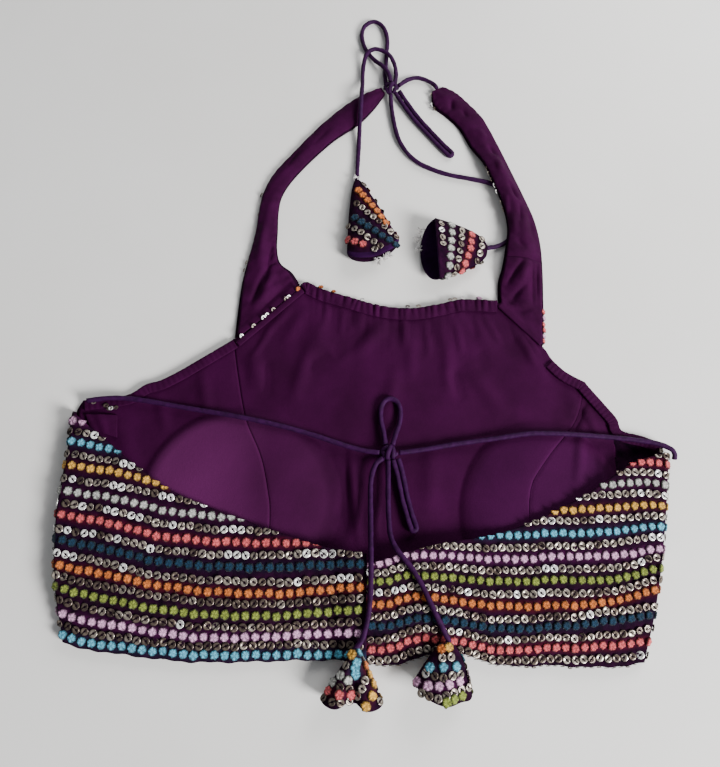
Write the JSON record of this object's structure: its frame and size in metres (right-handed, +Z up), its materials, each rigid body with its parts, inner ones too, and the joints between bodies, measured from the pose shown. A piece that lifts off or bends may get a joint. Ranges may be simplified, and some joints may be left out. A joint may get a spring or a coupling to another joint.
{
  "type": "halter-neck choli blouse",
  "caption": "Halter-neck choli blouse laid flat with its back up: embroidered back panels on the lined front, straps and drawstring bows with cone tassels.",
  "frame": {"origin": "bottom centre of the box of the blouse without its cords, bows and tassels: the middle of the surface that it lies on", "axes": "+Y from the hem to the neck, +X to the right with the back up, +Z up from the surface"},
  "size_m": [0.4199, 0.538, 0.0205],
  "materials": {
    "embroidered_cloth": "matte cloth with thread flowers and sequins",
    "lining_cloth": "satin lining",
    "cord_cloth": "soft satin cord",
    "padding": "soft foam"
  },
  "bodies": {
    "root": {"front_centre": "embroidered_cloth", "front_side_left": "embroidered_cloth", "front_side_right": "embroidered_cloth", "back_left": "embroidered_cloth", "back_right": "embroidered_cloth", "strap_left_outer": "embroidered_cloth", "strap_right_outer": "embroidered_cloth", "root_trim_left": "embroidered_cloth", "latkan_neck_left": "embroidered_cloth", "latkan_neck_right": "embroidered_cloth", "latkan_back_left": "embroidered_cloth", "latkan_back_right": "embroidered_cloth", "lining_centre": "lining_cloth", "lining_side_left": "lining_cloth", "lining_side_right": "lining_cloth", "neck_facing": "lining_cloth", "armhole_facing_left": "lining_cloth", "armhole_facing_right": "lining_cloth", "side_flap_left": "lining_cloth", "strap_left_lining": "lining_cloth", "strap_right_lining": "lining_cloth", "back_cord_left": "cord_cloth", "back_cord_right": "cord_cloth", "back_knot": "cord_cloth", "back_loop": "cord_cloth", "back_folded_loop": "cord_cloth", "back_tail_left": "cord_cloth", "back_tail_right": "cord_cloth", "neck_cord_right": "cord_cloth", "neck_knot": "cord_cloth", "neck_loop": "cord_cloth", "neck_folded_loop": "cord_cloth", "neck_tail_left": "cord_cloth", "neck_tail_right": "cord_cloth", "cup_left": "padding", "cup_right": "padding"}
  },
  "joints": []
}
